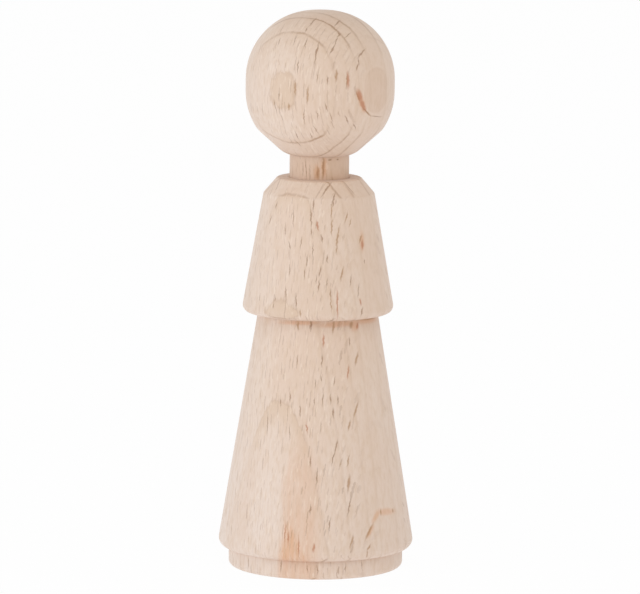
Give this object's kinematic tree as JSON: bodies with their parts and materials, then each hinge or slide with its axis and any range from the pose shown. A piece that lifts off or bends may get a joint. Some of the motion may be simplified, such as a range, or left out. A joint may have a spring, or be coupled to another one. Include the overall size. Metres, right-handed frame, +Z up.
{
  "type": "peg doll",
  "caption": "Unpainted turned beech peg doll: ball head on a dowel neck, short flared jacket over a long flared skirt, on a round foot.",
  "frame": {"origin": "middle of the underside of the foot, on the surface that the doll stands on", "axes": "+Z up the doll's turning axis to the crown of the head; -Y towards the viewer of the picture, +X to the viewer's right"},
  "size_m": [0.0394, 0.0394, 0.1131],
  "materials": {
    "turned_beech": "bare beech, lathe-turned and sanded, not lacquered",
    "dowel_beech": "bare beech dowel, sanded"
  },
  "bodies": {
    "root": {"foot": "turned_beech", "skirt": "turned_beech", "jacket": "turned_beech", "centre_dowel": "dowel_beech", "head": "turned_beech"}
  },
  "joints": []
}
